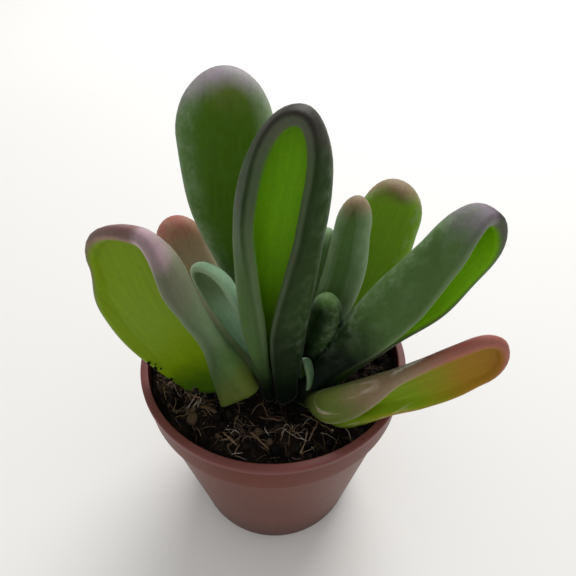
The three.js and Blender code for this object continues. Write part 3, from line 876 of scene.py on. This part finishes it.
def turned(profile, sides):
    """Points and faces of a profile of (radius, height) pairs turned round the z axis; radius 0 closes it."""
    points, rings = [], []
    for radius, height in profile:
        if radius == 0:
            rings.append([len(points)] * sides)
            points.append((0, 0, height))
            continue
        rings.append(list(range(len(points), len(points) + sides)))
        for k in range(sides):
            turn = 2 * math.pi * k / sides
            points.append((radius * math.cos(turn), radius * math.sin(turn), height))
    faces = []
    for low, high in zip(rings, rings[1:]):
        for k in range(sides):
            after = (k + 1) % sides
            quad = dict.fromkeys((low[k], low[after], high[after], high[k]))
            if len(quad) > 2:
                faces.append(tuple(quad))
    return np.array(points, dtype=float), faces


def rounded(centre, radius, start, end, steps=5):
    """Points of an arc, its angles in degrees."""
    turns = [math.radians(start + (end - start) * k / steps) for k in range(steps + 1)]
    return [(centre[0] + radius * math.cos(t), centre[1] + radius * math.sin(t)) for t in turns]


def pot_profile():
    """The outline of the pot's wall, from the middle of its underside out, up and back down inside."""
    neck = POT_HEIGHT - COLLAR_HEIGHT
    neck_radius = COLLAR_RADIUS - COLLAR_STEP
    lip = POT_HEIGHT - LIP_DROP
    inner = COLLAR_RADIUS - WALL
    soft = SOFT_EDGE
    profile = [(0, 0), (10, 0)]
    profile += rounded((BASE_RADIUS - FOOT_BEVEL, FOOT_BEVEL), FOOT_BEVEL, -90, -10)
    wall_low, wall_high = profile[-1], (neck_radius, neck)
    for k in range(1, WALL_STEPS):
        f = k / WALL_STEPS
        profile.append(tuple(a + (b - a) * f for a, b in zip(wall_low, wall_high)))
    profile += [wall_high, (neck_radius + 0.15, neck + 0.2)]
    profile += rounded((COLLAR_RADIUS - soft, neck + COLLAR_STEP), soft, -50, 0, 3)
    for k in range(1, COLLAR_STEPS):
        height = neck + COLLAR_STEP + (lip - neck - COLLAR_STEP) * k / COLLAR_STEPS
        profile.append((COLLAR_RADIUS, height))
    profile += [(COLLAR_RADIUS, lip), (RIM_RADIUS - soft, lip + 0.05)]
    profile += rounded((RIM_RADIUS - soft, lip + soft + 0.05), soft, -90, 0, 4)
    profile += rounded((RIM_RADIUS - LIP_ROUND, POT_HEIGHT - LIP_ROUND), LIP_ROUND, 0, 90, 4)
    profile += rounded((inner + LIP_ROUND, POT_HEIGHT - LIP_ROUND), LIP_ROUND, 90, 180, 4)
    profile += [(inner, neck + COLLAR_STEP), (neck_radius - WALL, neck)]
    profile += [(BASE_RADIUS - WALL, FLOOR), (0, FLOOR)]
    return profile


def drilled(shell, x, y):
    """Cut one drain hole through the pot's floor."""
    profile = [(0, DRILL_LOW), (DRAIN_RADIUS, DRILL_LOW), (DRAIN_RADIUS, DRILL_HIGH), (0, DRILL_HIGH)]
    points, faces = turned(profile, DRAIN_SIDES)
    points[:, 0] += x
    points[:, 1] += y
    drill = mesh_object("drill", points, faces)
    cut = shell.modifiers.new("hole", "BOOLEAN")
    cut.object = drill
    cut.solver = "EXACT"
    cut.operation = "DIFFERENCE"
    bpy.context.view_layer.update()
    holed = bpy.data.meshes.new_from_object(shell.evaluated_get(bpy.context.evaluated_depsgraph_get()))
    shell.modifiers.clear()
    shell.data = holed
    bpy.data.objects.remove(drill)


def pot_mesh():
    points, faces = turned(pot_profile(), POT_SIDES)
    shell = mesh_object("pot_shell", points, faces)
    for k in range(DRAIN_COUNT):
        turn = k / DRAIN_COUNT * 2 * math.pi
        drilled(shell, DRAIN_RING * math.cos(turn), DRAIN_RING * math.sin(turn))
    shell.data.polygons.foreach_set("use_smooth", [True] * len(shell.data.polygons))
    shell.data.set_sharp_from_angle(angle=math.radians(POT_CREASE))
    return shell


def pot_material():
    shader = Shader("terracotta_plastic")
    cloud = shader.noise(0.09, 4.0, 0.55)
    fine = shader.noise(2.2, 4.0, 0.6)
    height = shader.node("SeparateXYZ", (shader.place,), out="Z")
    # Painted shade: the side darkens towards the bottom, near the floor
    body = shader.ramp(shader.math("DIVIDE", height, POT_HEIGHT), colours(POT_TONES))
    body = shader.shaded(body, cloud, 0.84, 1.14)
    body = shader.shaded(body, fine, 0.94, 1.06)
    normal = shader.node("NewGeometry", out="Normal")
    # Painted shade: the inner wall is darker than the outside
    outward = shader.node("VectorMath", (normal, shader.place), out="Value", operation="DOT_PRODUCT")
    body = shader.mix(shader.span(outward, 0.5, -6.0), body, colour(*POT_INSIDE_SHADE))
    dust = shader.span(shader.noise(0.35, 5.0, 0.65), 0.62, 0.8)
    dust = shader.math("MULTIPLY", dust, 0.14)
    body = shader.mix(dust, body, colour(*POT_DUST))
    specks = shader.node("TexVoronoi", {"Vector": shader.place, "Scale": 0.5}, feature="F1")
    dirt = shader.math("MULTIPLY", shader.span(specks, 0.1, 0.05), shader.span(height, 38.0, 49.0))
    body = shader.mix(dirt, body, colour(*POT_DIRT))
    rough = shader.math("MULTIPLY_ADD", fine, 0.2, 0.3)
    shader.set(Base_Color=body, Roughness=shader.math("MULTIPLY_ADD", dust, 1.0, rough))
    shader.set(Specular_IOR_Level=0.2)
    shader.bump(shader.math("MULTIPLY_ADD", cloud, 1.5, fine), 0.06, 0.4)
    return shader.material


def soil_mesh():
    top = COLLAR_RADIUS - WALL - SOIL_GAP
    neck = POT_HEIGHT - COLLAR_HEIGHT
    profile = [(0, FLOOR), (BASE_RADIUS - WALL - SOIL_GAP, FLOOR), (top - COLLAR_STEP, neck)]
    profile.append((top, neck + COLLAR_STEP))
    profile += [(top * k / SOIL_RINGS, SOIL_LEVEL) for k in range(SOIL_RINGS, -1, -1)]
    points, faces = turned(profile, SOIL_SIDES)
    surface = points[:, 2] == SOIL_LEVEL
    x, y = points[surface, 0], points[surface, 1]
    height = ground_height(x, y)
    spots = [Vector((a, b, 0)) for a, b in zip(x, y)]
    for lift, pace, shift, rough, gap, octaves in SOIL_SWELLS:
        swell = [noise.fractal(spot * pace + Vector(shift), rough, gap, octaves) for spot in spots]
        height += lift * np.array(swell)
    edge = np.clip((np.hypot(x, y) - (top - SOIL_EDGE)) / SOIL_EDGE, 0, 1)
    points[surface, 2] = height - SOIL_EDGE_DROP * edge
    return mesh_object("soil_bed", points, faces)


def soil_material():
    shader = Shader("peat")
    lump = shader.noise(0.45, 5.0, 0.65)
    grain = shader.noise(3.2, 5.0, 0.7)
    lines = shader.node("VectorMath", (shader.place, (0.9, 5.0, 2.0)), operation="MULTIPLY")
    thread = shader.noise(1.0, 4.0, 0.6, lines)
    peat = shader.ramp(grain, colours(PEAT_TONES))
    brown = shader.mix(shader.span(lump, 0.45, 0.72), peat, colour(*PEAT_BROWN))
    threads = shader.math("MULTIPLY", shader.span(thread, 0.62, 0.74), 0.4)
    brown = shader.mix(threads, brown, colour(*PEAT_THREAD))
    shader.set(Base_Color=brown, Roughness=shader.math("MULTIPLY_ADD", grain, 0.2, 0.72))
    shader.set(Specular_IOR_Level=0.1)
    shader.bump(shader.math("MULTIPLY_ADD", lump, 1.5, grain), 0.8, 0.9)
    return shader.material


class Bits:
    """Many small solids joined in one mesh, each with its own tone."""

    def __init__(self):
        self.points = []
        self.faces = []
        self.tones = []
        self.count = 0

    def add(self, points, faces, tone):
        self.points.append(points)
        self.faces += [[i + self.count for i in face] for face in faces]
        self.tones.append(np.full(len(points), tone))
        self.count += len(points)

    def object(self, name):
        tones = dict(tone=np.concatenate(self.tones))
        return mesh_object(name, np.concatenate(self.points), self.faces, tones)


def ball(subdivisions):
    """Points and faces of a ball with a radius of 1."""
    made = bmesh.new()
    bmesh.ops.create_icosphere(made, subdivisions=subdivisions, radius=1)
    points = np.array([tuple(v.co) for v in made.verts])
    faces = [[v.index for v in face.verts] for face in made.faces]
    made.free()
    return points, faces


def tube(path, radius, sides):
    """Points and faces of a closed thin tube along a path, flattened and tapered to both ends."""
    path = np.asarray(path, dtype=float)
    ways = unit(np.gradient(path, axis=0))
    side = unit(np.cross(ways, (0.13, 0.07, 1.0)))
    over = np.cross(side, ways)
    f = np.linspace(0, 1, len(path))
    width = radius * np.clip(np.minimum(f, 1 - f) * TAPER + END_WIDTH, 0, 1)
    lines = []
    for k in range(sides):
        turn = 2 * math.pi * k / sides
        offset = side * math.cos(turn) + over * math.sin(turn) * FLATNESS
        lines.append(path + offset * width[:, None])
    rings = np.stack(lines, 1).reshape(-1, 3)
    points = np.concatenate([path[:1], rings, path[-1:]])
    faces = []
    count = len(path)
    for i in range(count - 1):
        for k in range(sides):
            a, b = 1 + i * sides + k, 1 + i * sides + (k + 1) % sides
            faces.append([a, b, b + sides, a + sides])
    end = 1 + (count - 1) * sides
    for k in range(sides):
        faces.append([0, 1 + (k + 1) % sides, 1 + k])
        faces.append([end + sides, end + k, end + (k + 1) % sides])
    return points, faces


def turn_matrix(random):
    """Any rotation."""
    angle = random.uniform(0, ANY_HEADING)
    return np.array(Matrix.Rotation(angle, 3, Vector(random.normal(size=3)).normalized()))


def any_spot(random, reach):
    """Any place on the soil, as x and y."""
    turn = random.uniform(0, 2 * math.pi)
    away = reach * math.sqrt(random.uniform(0, 1))
    return away * math.cos(turn), away * math.sin(turn)


def any_tone(random, tones):
    """One of the tones, by their shares."""
    return random.choice(tones[0], p=tones[1])


def soil_crumbs(random, reach):
    crumbs = Bits()
    coarse = ball(1)
    fine = ball(2)
    for k in range(CRUMB_COUNT):
        x, y = any_spot(random, reach)
        size = CRUMB_SIZE + CRUMB_SPREAD * random.uniform(0, 1) ** 3
        points, faces = fine if size > FINE_FROM else coarse
        shape = points * (size * random.uniform(0.35, 1.3, 3))
        shape = warped(shape @ turn_matrix(random), 0.9, 0.35 * size, k % 97)
        shape += (x, y, ground_height(x, y) + 0.25 * size)
        crumbs.add(shape, faces, any_tone(random, CRUMB_TONES))
    leaf = LEAVES[SPECK_LEAF]
    rib = Rib(leaf)
    points, faces = fine
    for s, share, size in SPECKS:
        out = share * smooth_list(leaf["left"]["half"], np.array([s]))
        point, up, across = rib.frame(s * (rib.length - leaf["tip"]["long"]) + 0 * out)
        sag = SPECK_SAG * out[:, None]
        place = (point + across * out[:, None] - up * (leaf["thick"][0] / 2 + sag))[0]
        shape = points * (size, 0.6 * size, 0.7 * size) @ turn_matrix(random) + place
        crumbs.add(shape, faces, SPECK_TONE)
    return crumbs.object("soil_crumbs")


def lay_fibre(fibres, random, reach, spot, heading, length, radius, tone, lift, bend):
    """Add a fibre that starts at spot and lies on the soil in a low arch."""
    x, y = spot
    step = length / (FIBRE_STEPS - 1)
    path = []
    for k in range(FIBRE_STEPS):
        f = k / (FIBRE_STEPS - 1)
        hump = lift * math.sin(math.pi * f) + 0.15
        squeeze = min(1, reach / max(math.hypot(x, y), 1e-6))
        px, py = x * squeeze, y * squeeze
        path.append((px, py, ground_height(px, py) + hump))
        x += step * math.cos(heading)
        y += step * math.sin(heading)
        heading += bend + random.normal(0, FIBRE_WANDER)
    fibres.add(*tube(path, radius, FIBRE_SIDES), tone)


def soil_fibres(random, reach):
    fibres = Bits()
    for _ in range(FIBRE_COUNT):
        spot = any_spot(random, reach)
        tone = any_tone(random, FIBRE_TONES)
        heading = random.uniform(0, ANY_HEADING)
        length = random.uniform(1.2, 4.5)
        radius = random.uniform(0.05, 0.13)
        lift = random.uniform(0.1, 0.6)
        bend = random.normal(0, 0.08)
        lay_fibre(fibres, random, reach, spot, heading, length, radius, tone, lift, bend)
    for x, y, spread, count in TANGLES:
        for _ in range(count):
            tone = any_tone(random, TANGLE_TONES)
            away = TANGLE_SPREAD * spread
            spot = (x + random.normal(0, away), y + random.normal(0, away))
            heading = random.uniform(0, ANY_HEADING)
            length = random.uniform(1.5, 5)
            radius = random.uniform(0.045, 0.09)
            lift = random.uniform(0.3, 1.3)
            bend = random.normal(0, 0.14)
            lay_fibre(fibres, random, reach, spot, heading, length, radius, tone, lift, bend)
    for x0, y0, x1, y1, radius, tone in STICKS:
        f = np.linspace(0, 1, STICK_STEPS)
        x, y = x0 + (x1 - x0) * f, y0 + (y1 - y0) * f
        path = np.stack([x, y, ground_height(x, y) + STICK_LIFT + 0.12 * np.sin(9 * f + x0)], -1)
        fibres.add(*tube(warped(path, 1.1, 0.35, 3), radius, STICK_SIDES), tone)
    return fibres.object("soil_fibres")


def bits_material(name, wide):
    """Peat or fibre by each bit's own tone, which varies within it by about wide."""
    shader = Shader(name)
    tone = shader.attribute("tone")
    grain = shader.noise(4.0, 4.0, 0.7)
    patch = shader.noise(0.9, 3.0, 0.6)
    place = shader.math("ADD", tone, shader.math("MULTIPLY_ADD", patch, wide, -0.5 * wide))
    shade = shader.ramp(place, colours(BITS_TONES))
    shade = shader.shaded(shade, grain, 0.7, 1.3)
    shader.set(Base_Color=shade, Roughness=shader.math("MULTIPLY_ADD", grain, 0.2, 0.65))
    shader.set(Specular_IOR_Level=0.12)
    shader.bump(grain, 0.15, 0.7)
    return shader.material


def stem_mesh():
    profile = [(0, STEM_FOOT), (0.5 * STEM_RADIUS, STEM_FOOT), (0.8 * STEM_RADIUS, STEM_FOOT + 4)]
    low = STEM_FOOT + STEM_TAPER
    for k in range(STEM_ROWS + 1):
        z = low + (STEM_TOP - 3 - STEM_FOOT - STEM_TAPER) * k / STEM_ROWS
        scar = STEM_SCAR_DEPTH * (k % STEM_SCAR_ROWS == 0)
        profile.append((STEM_RADIUS * (1 - scar), z))
    profile += [(0.7 * STEM_RADIUS, STEM_TOP - 1), (0, STEM_TOP)]
    points, faces = turned(profile, STEM_SIDES)
    points[:, :2] += STEM_CENTRE
    return mesh_object("plant_stem", warped(points, 5, 0.15, 5), faces)


def stem_material():
    shader = Shader("stem_bark")
    grain = shader.noise(1.2, 4.0, 0.6)
    fine = shader.noise(6.0, 3.0)
    shade = shader.ramp(grain, colours(STEM_TONES))
    shade = shader.shaded(shade, fine, 0.8, 1.2)
    shader.set(Base_Color=shade, Roughness=shader.math("MULTIPLY_ADD", grain, 0.2, 0.6))
    shader.bump(shader.math("ADD", grain, fine), 0.12, 0.6)
    return shader.material


def floor_material():
    shader = Shader("pale_floor")
    cloud = shader.noise(0.004, 3.0)
    shade = shader.mix(cloud, *(colour(*tone) for tone in GROUND_TONES))
    shader.set(Base_Color=shade, Roughness=0.6, Specular_IOR_Level=0.2)
    return shader.material


def add_camera():
    pitch, yaw, roll = (math.radians(a) for a in (CAMERA_PITCH, CAMERA_YAW, CAMERA_ROLL))
    ahead = Vector((math.sin(yaw) * math.cos(pitch), math.cos(yaw) * math.cos(pitch), -math.sin(pitch)))
    right = Vector((math.cos(yaw), -math.sin(yaw), 0))
    up = right.cross(ahead)
    right, up = (
        math.cos(roll) * right + math.sin(roll) * up,
        math.cos(roll) * up - math.sin(roll) * right,
    )
    data = bpy.data.cameras.new("camera")
    data.lens = CAMERA_LENS
    data.sensor_width = SENSOR_WIDTH
    data.clip_start = 0.005
    camera = bpy.data.objects.new("camera", data)
    turn = Matrix((right, up, -ahead)).transposed().to_4x4()
    camera.matrix_world = Matrix.Translation(Vector(CAMERA_PLACE) * MM) @ turn
    bpy.context.scene.collection.objects.link(camera)
    bpy.context.scene.camera = camera


def add_window():
    """One broad soft light, high behind the plant."""
    data = bpy.data.lights.new("window", "AREA")
    data.shape = "DISK"
    data.size = WINDOW_SIZE
    data.energy = WINDOW_POWER
    data.color = WHITE
    lamp = bpy.data.objects.new("window", data)
    lamp.location = WINDOW_PLACE
    lamp.rotation_euler = (Vector(AIM) - Vector(WINDOW_PLACE)).to_track_quat("-Z", "Y").to_euler()
    bpy.context.scene.collection.objects.link(lamp)


def add_stage():
    add_camera()
    world = bpy.data.worlds.new("studio")
    world.use_nodes = True
    sky = world.node_tree.nodes["Background"].inputs
    sky["Color"].default_value = (*WHITE, 1.0)
    sky["Strength"].default_value = SKY_STRENGTH
    bpy.context.scene.world = world
    bpy.context.scene.view_settings.view_transform = "Standard"
    add_window()
    half = GROUND_HALF
    corners = [(-half, -half, 0), (half, -half, 0), (half, half, 0), (-half, half, 0)]
    ground = mesh_object("floor", corners, [(0, 1, 2, 3)])
    ground.data.materials.append(floor_material())


noise.seed_set(SEED)
add_stage()
piece(pot_mesh(), pot_material(), "pot", "pot")
piece(stem_mesh(), stem_material(), "stem", "stem")
piece(soil_mesh(), soil_material(), "soil", "soil")
draws = np.random.default_rng(SEED)
bits_reach = COLLAR_RADIUS - WALL - BITS_MARGIN
piece(soil_crumbs(draws, bits_reach), bits_material("peat_crumbs", 0.25), "soil")
piece(soil_fibres(draws, bits_reach), bits_material("dry_fibres", 0.3), "soil")
for leaf_name, leaf_look in LOOKS.items():
    leaf_object = leaf_mesh(leaf_name, LEAVES[leaf_name])
    piece(leaf_object, leaf_material(leaf_name, leaf_look), leaf_look["slot"], leaf_name)
